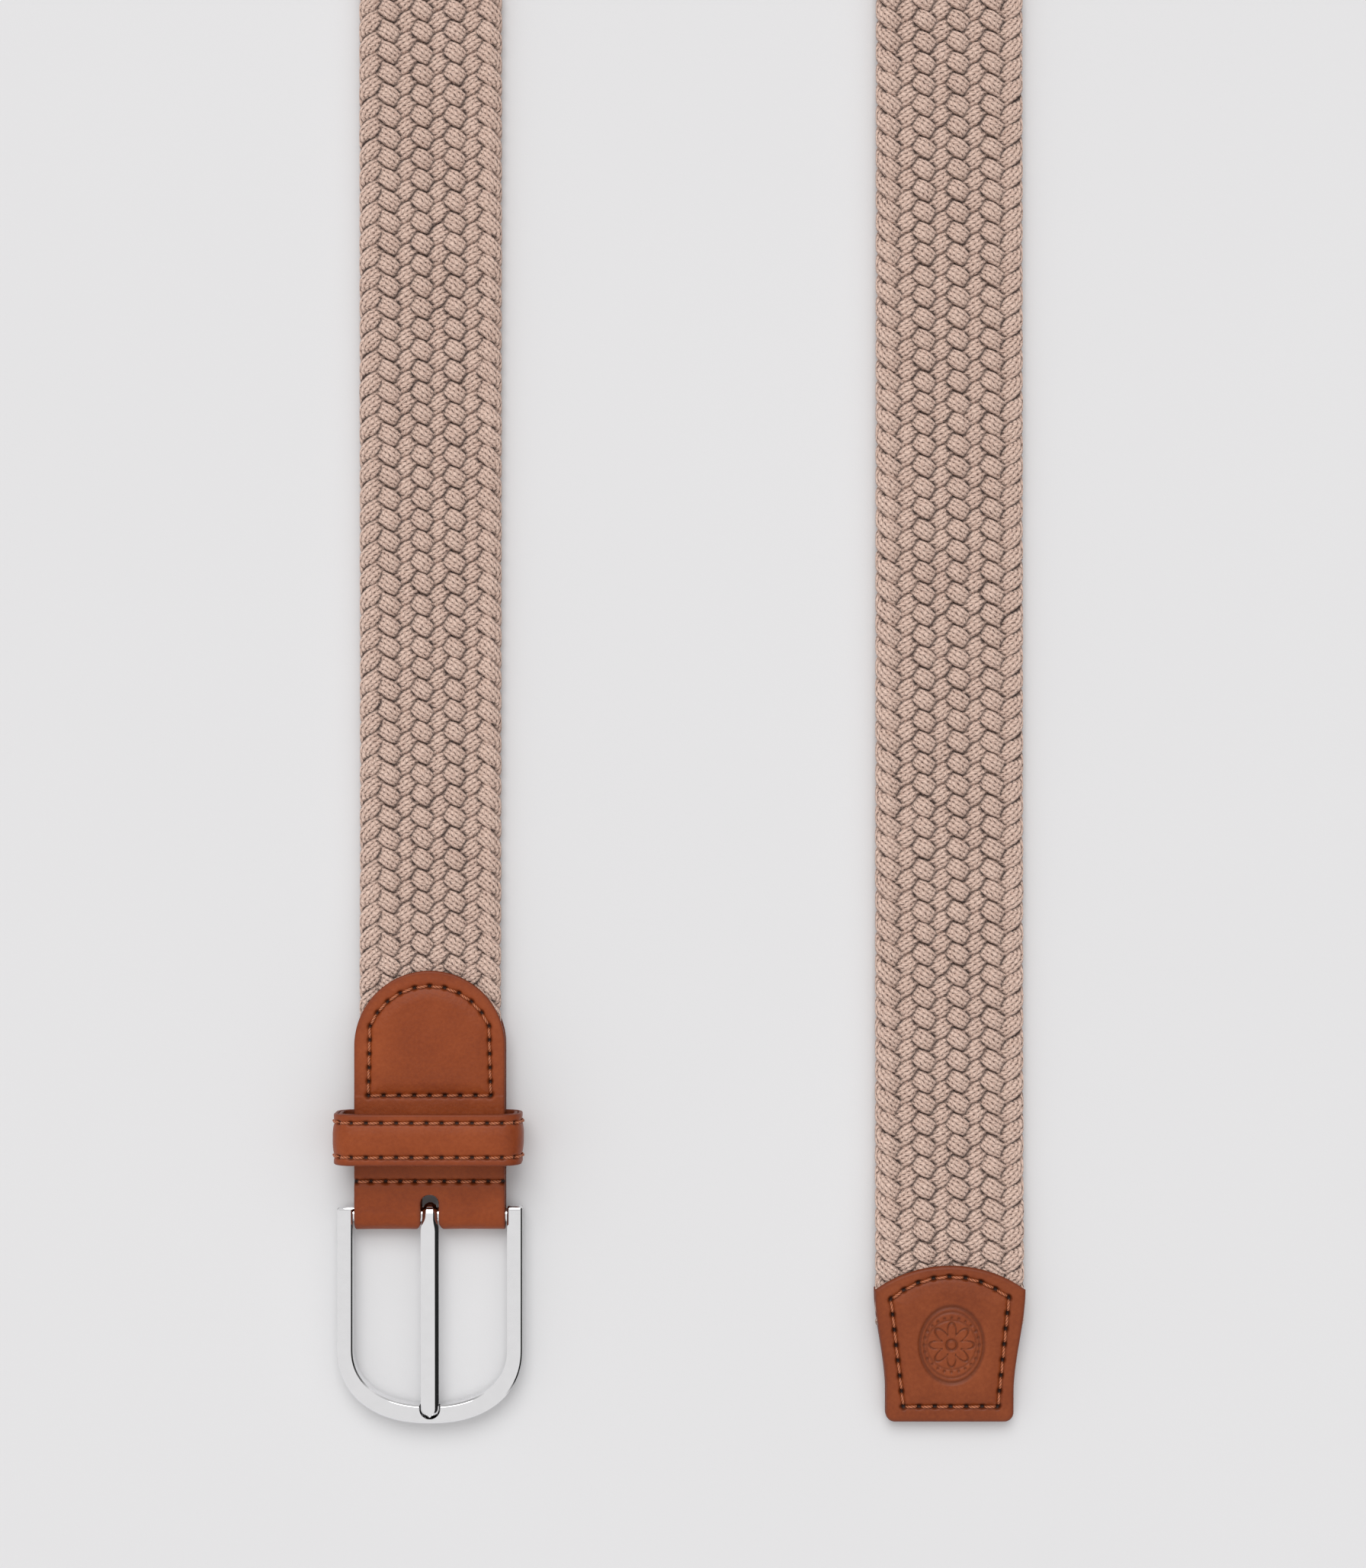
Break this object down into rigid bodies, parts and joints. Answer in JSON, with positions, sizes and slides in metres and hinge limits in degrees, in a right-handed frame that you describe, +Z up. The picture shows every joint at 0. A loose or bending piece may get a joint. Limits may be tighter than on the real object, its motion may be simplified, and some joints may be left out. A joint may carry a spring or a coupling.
{
  "type": "braided elastic belt with leather ends",
  "caption": "Braided stretch belt with sewn leather ends, a horseshoe buckle that hinges on its bar with its prong, and a leather keeper loop.",
  "frame": {"origin": "middle of the belt's box, on the surface that the belt lies on", "axes": "+Z up out of the surface; +Y from the buckle and tail end towards the standing bend; +X from the buckle leg to the tail leg"},
  "size_m": [0.1602, 0.5696, 0.0342],
  "materials": {
    "braid": "matt knitted cords, taupe",
    "tan_leather": "smooth saddle tan, semi-matt",
    "leather_edge": "painted cut edge and inner ply",
    "thread": "waxed orange-brown thread",
    "chrome": "polished",
    "steel": "plain wire"
  },
  "bodies": {
    "belt": {"braided_strap": "braid", "chape_leather": "tan_leather", "chape_filler": "leather_edge", "chape_d_needle_thread": "thread", "chape_d_bobbin_thread": "thread", "chape_bar_needle_thread": "thread", "chape_bar_bobbin_thread": "thread", "tip_front": "tan_leather", "tip_back": "tan_leather", "tip_core": "leather_edge", "tip_needle_thread": "thread", "tip_bobbin_thread": "thread"},
    "buckle": {"buckle_frame": "chrome", "buckle_bar": "steel"},
    "prong": {"prong": "chrome"},
    "keeper": {"keeper_outer": "tan_leather", "keeper_lining": "leather_edge", "keeper_staple": "steel", "keeper_upper_needle_thread": "thread", "keeper_lower_needle_thread": "thread", "keeper_upper_bobbin_thread": "thread", "keeper_lower_bobbin_thread": "thread"}
  },
  "joints": [
    {"name": "buckle_hinge", "type": "hinge", "parent": "belt", "child": "buckle", "pos_m": [-0.05817, -0.23654, 0.003], "axis": [-1, 0, 0], "range_deg": [0, 40]},
    {"name": "prong_hinge", "type": "hinge", "parent": "buckle", "child": "prong", "pos_m": [-0.05817, -0.23654, 0.003], "axis": [-1, 0, 0], "range_deg": [0, 60]},
    {"name": "keeper_slide", "type": "slide", "parent": "belt", "child": "keeper", "axis": [0, 1, 0], "range_m": [-0.003, 0.001]}
  ]
}
